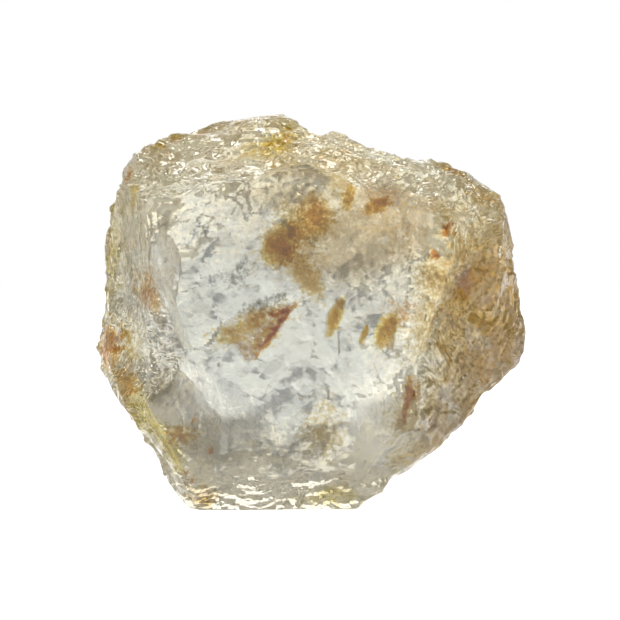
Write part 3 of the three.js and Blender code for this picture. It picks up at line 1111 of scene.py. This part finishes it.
def bend_sheet(bm, outline, deep, lean, dark_way):
    """Leans and crumples a sheet, and stores how far its points are from the rim and how dark."""
    centre = sum(outline, Vector((0, 0))) / len(outline)
    reach = max((corner - centre).length for corner in outline)
    way = Vector((math.cos(math.radians(dark_way)), math.sin(math.radians(dark_way))))
    rim = bm.verts.layers.float.new("rim")
    dark = bm.verts.layers.float.new("dark")
    for vert in bm.verts:
        away = Vector((vert.co.x, vert.co.z)) - centre
        vert[rim] = from_rim(vert.co.x, vert.co.z, outline) / MM
        vert[dark] = 0.5 + 0.5 * away.dot(way) / reach
        place = vert.co / CRUMPLE_WIDTH + at(0, deep, 0) * CRUMPLE_SHIFT
        wanted = at(0, deep, 0).y + away.x * lean[0] + away.y * lean[1]
        wanted += noise.fractal(place, 1, 2, 3) * CRUMPLE
        vert.co.y += max(wanted, below_skin(vert.co.x, vert.co.z))


def crack_sheet(name, deep, lean, dark_way, points):
    """A thin closed sheet inside the chunk."""
    outline = [Vector((at(across, 0, 0).x, at(0, 0, up).z)) for across, up in points]
    bm = flat_sheet(outline)
    bend_sheet(bm, outline, deep, lean, dark_way)
    mesh = bpy.data.meshes.new(name)
    bm.to_mesh(mesh)
    bm.free()
    for face in mesh.polygons:
        face.use_smooth = True
    piece = new_object(name, mesh)
    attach(piece, "root")
    return piece


# %% [markdown]
# ## What fills a crack
# The filling is thick in the middle and frayed at its rim, with streaks along the crack. Noise eats
# into the distance from the rim, which is stored on the points. The cover goes to the alpha, so that
# the stone shows through thin parts. All cracks share one group, each with its own colours.

# %% The group for a healed crack
STREAKS = {"Width": 0.7, "Longer": 3.3, "Detail": 4, "Roughness": 0.65}
LUMP_WIDTH = 1.8


def healed_crack_group():
    """Iron or ice in a crack: thick and thin by noise drawn out along it, ragged at its rim."""
    inputs = [("Light", "Color"), ("Dark", "Color")]
    inputs += [("Turn", "Float"), ("Ragged", "Float"), ("Cover", "Float")]
    group, given, put = new_group("healed crack", inputs, [("Colour", "Color"), ("Cover", "Float")])
    streaks = use_group(group, drawn_noise, Turn=given["Turn"], **STREAKS)["Value"]
    lumps = grain_noise(group, object_place(group), LUMP_WIDTH, 5, 0.7)["Fac"]
    rim, side = read(group, "rim"), read(group, "dark")
    uneven = product(group, maths(group, "SUBTRACT", streaks, 0.5), 1.6)
    tone = remap(group, maths(group, "ADD", side, uneven), 0.45, 0.85)
    wire(group, blend(group, tone, given["Light"], given["Dark"]), put["Colour"])
    eaten = maths(group, "SUBTRACT", maths(group, "DIVIDE", rim, given["Ragged"]), lumps)
    edge = remap(group, eaten, -0.4, 0.1)
    lumpy = remap(group, lumps, 0.35, 0.5, 0.3, 1)
    streaky = remap(group, streaks, 0.4, 0.5, 0.6, 1)
    fading = remap(group, side, 0.2, 0.7, 0.4, 1)
    thick = product(group, lumpy, streaky, fading)
    wire(group, product(group, edge, thick, given["Cover"]), put["Cover"])
    return group


healed_crack = healed_crack_group()
print("group:", healed_crack.name)


# %% [markdown]
# The filling is dull and lets some light through. Its IOR is low, because inside the stone it should not
# mirror as it would in air.

# %% The material of a crack
SHEET_ROUGHNESS = 0.5
SHEET_IOR = 1.2
SHEET_CLEARNESS = 0.7


def sheet_material(name, light, dark, cover, streak_turn, ragged_by):
    glass = {"Roughness": SHEET_ROUGHNESS, "IOR": SHEET_IOR, "Transmission_Weight": SHEET_CLEARNESS}
    material, tree, shader = new_material(name, **glass)
    values = {"Light": (*light, 1), "Dark": (*dark, 1), "Turn": math.radians(streak_turn)}
    look = use_group(tree, healed_crack, **values, Ragged=ragged_by, Cover=cover)
    fill(tree, shader, Base_Color=look["Colour"], Alpha=look["Cover"])
    return material


# %% [markdown]
# ## The cracks one by one
# Iron makes feathers, clouds and slivers from yellow to brick red. Gas makes white veils, blades and
# splinters. Pale sheets just under the skin along the ridges of the left side, and a golden one low on
# the left, are painted highlights of the ridge crests.

# %% Colours of the fillings
ICE = (0.95, 0.96, 0.97)
# The cream of the painted ridge highlights
RIDGE_HIGHLIGHT_CREAM = (0.97, 0.94, 0.78)
FOG = (0.86, 0.87, 0.86)
AMBER = (0.62, 0.32, 0.012)
BROWN = (0.34, 0.13, 0.005)
BRICK = (0.36, 0.06, 0.003)
YELLOW = (0.74, 0.42, 0.02)
TAN = (0.66, 0.44, 0.16)
print("iron goes from", YELLOW, "to", BRICK)

# %% The cracks
# Each crack: name, light and dark colour, cover, turn of its streaks, how ragged its rim in millimetres,
# how deep, how it leans, which way it gets darker, and its outline from left and bottom
CRACKS = (
    ("red_feather", TAN, BRICK, 0.9, 60, 1.5, 0.1, (0.2, 0.3), -35,
     ((0.28, 0.46), (0.34, 0.51), (0.48, 0.535), (0.44, 0.46), (0.39, 0.4), (0.36, 0.365),
      (0.32, 0.42))),
    ("rust_cloud_upper", YELLOW, AMBER, 0.6, 10, 4, 0.14, (0.1, -0.3), 90,
     ((0.45, 0.7), (0.46, 0.79), (0.52, 0.82), (0.57, 0.76), (0.55, 0.68), (0.5, 0.66))),
    ("rust_cloud_lower", YELLOW, AMBER, 0.6, 10, 4, 0.2, (-0.2, 0.2), 120,
     ((0.38, 0.66), (0.42, 0.73), (0.5, 0.71), (0.56, 0.62), (0.53, 0.52), (0.47, 0.56))),
    ("sandy_cloud", TAN, YELLOW, 0.5, 20, 6, 0.26, (0.1, -0.1), 60,
     ((0.5, 0.6), (0.52, 0.76), (0.66, 0.84), (0.8, 0.78), (0.78, 0.64), (0.62, 0.56))),
    ("brown_spots", AMBER, BROWN, 0.8, 20, 2, 0.12, (0.1, -0.1), 0,
     ((0.59, 0.78), (0.61, 0.83), (0.67, 0.82), (0.72, 0.79), (0.7, 0.76), (0.64, 0.77))),
    ("sliver_left", YELLOW, BROWN, 0.9, 25, 0.9, 0.1, (0.3, 0.1), 20,
     ((0.528, 0.43), (0.535, 0.5), (0.56, 0.545), (0.585, 0.535), (0.575, 0.49), (0.55, 0.44))),
    ("sliver_middle", YELLOW, AMBER, 0.9, 25, 0.7, 0.11, (0.3, 0.1), 20,
     ((0.61, 0.41), (0.612, 0.45), (0.63, 0.48), (0.636, 0.46), (0.625, 0.42))),
    ("sliver_right", YELLOW, BROWN, 0.95, 25, 0.9, 0.09, (0.3, 0.1), 0,
     ((0.645, 0.405), (0.65, 0.45), (0.675, 0.49), (0.7, 0.515), (0.7, 0.47), (0.69, 0.4),
      (0.665, 0.41))),
    ("ice_blade", ICE, ICE, 0.6, 15, 0.8, 0.08, (0.4, 0), 0,
     ((0.715, 0.4), (0.725, 0.48), (0.755, 0.56), (0.77, 0.55), (0.76, 0.47), (0.745, 0.4))),
    ("ice_arc", ICE, ICE, 0.9, 5, 0.25, 0.06, (0.3, 0), 0,
     ((0.232, 0.362), (0.246, 0.345), (0.254, 0.3), (0.249, 0.265), (0.246, 0.3), (0.24, 0.34))),
    ("ice_splinter_low", ICE, ICE, 0.8, 30, 0.3, 0.06, (0.3, 0), 0,
     ((0.17, 0.265), (0.185, 0.29), (0.215, 0.345), (0.207, 0.3), (0.19, 0.27))),
    ("ice_splinter_high", ICE, ICE, 0.8, 20, 0.3, 0.06, (0.3, 0), 0,
     ((0.128, 0.3), (0.133, 0.35), (0.118, 0.395), (0.125, 0.4), (0.145, 0.35), (0.138, 0.3))),
    ("brown_column", YELLOW, BROWN, 0.9, 5, 0.6, 0.1, (0.3, 0), 0,
     ((0.7, 0.23), (0.712, 0.3), (0.72, 0.35), (0.74, 0.345), (0.735, 0.28), (0.72, 0.225))),
    ("amber_diamond", LEMON, YELLOW, 0.95, 45, 0.8, 0.12, (0.1, 0), 0,
     ((0.866, 0.37), (0.897, 0.402), (0.927, 0.363), (0.902, 0.312), (0.872, 0.33))),
    ("ice_veil_left", ICE, FOG, 0.5, 15, 2, 0.05, (0.1, 0), 90,
     ((0.149, 0.71), (0.131, 0.62), (0.165, 0.51), (0.209, 0.52), (0.218, 0.62), (0.195, 0.7))),
    ("ice_veil_low", ICE, FOG, 0.55, 10, 3, 0.06, (0.1, 0), 45,
     ((0.23, 0.39), (0.22, 0.265), (0.25, 0.16), (0.35, 0.15), (0.43, 0.2), (0.39, 0.28), (0.3, 0.355))),
    ("ice_veil_right", ICE, FOG, 0.5, -10, 2, 0.06, (0.1, 0), 60,
     ((0.59, 0.285), (0.58, 0.2), (0.62, 0.125), (0.69, 0.16), (0.717, 0.265), (0.673, 0.31))),
    # Painted highlights: thin bright sheets just under the skin along the ridge crests
    ("ridge_highlight_high", RIDGE_HIGHLIGHT_CREAM, RIDGE_HIGHLIGHT_CREAM, 0.9, -36, 0.5, 0.02, (0.1, 0), 0,
     ((0.178, 0.83), (0.16, 0.825), (0.11, 0.745), (0.068, 0.677), (0.082, 0.665), (0.128, 0.735))),
    ("ridge_highlight_middle", RIDGE_HIGHLIGHT_CREAM, RIDGE_HIGHLIGHT_CREAM, 0.9, 27, 0.6, 0.03, (0.1, 0), 0,
     ((0.158, 0.61), (0.172, 0.61), (0.208, 0.5), (0.236, 0.415), (0.22, 0.4), (0.186, 0.49))),
    ("ridge_highlight_left", RIDGE_HIGHLIGHT_CREAM, RIDGE_HIGHLIGHT_CREAM, 0.8, 5, 0.5, 0.02, (0.1, 0), 0,
     ((0.074, 0.73), (0.086, 0.73), (0.08, 0.62), (0.088, 0.5), (0.074, 0.49), (0.066, 0.62))),
    ("gold_ridge_highlight_low", RIDGE_HIGHLIGHT_CREAM, LEMON, 0.9, 36, 0.6, 0.02, (0.1, 0), -60,
     ((0.1, 0.325), (0.12, 0.315), (0.172, 0.2), (0.225, 0.09), (0.205, 0.095), (0.145, 0.2))),
)

for name, light, dark, cover, streak_turn, ragged_by, deep, lean, dark_way, points in CRACKS:
    sheet = crack_sheet(name, deep, lean, dark_way, points)
    sheet.data.materials.append(sheet_material(name, light, dark, cover, streak_turn, ragged_by))
    print(name, len(sheet.data.polygons), "faces")
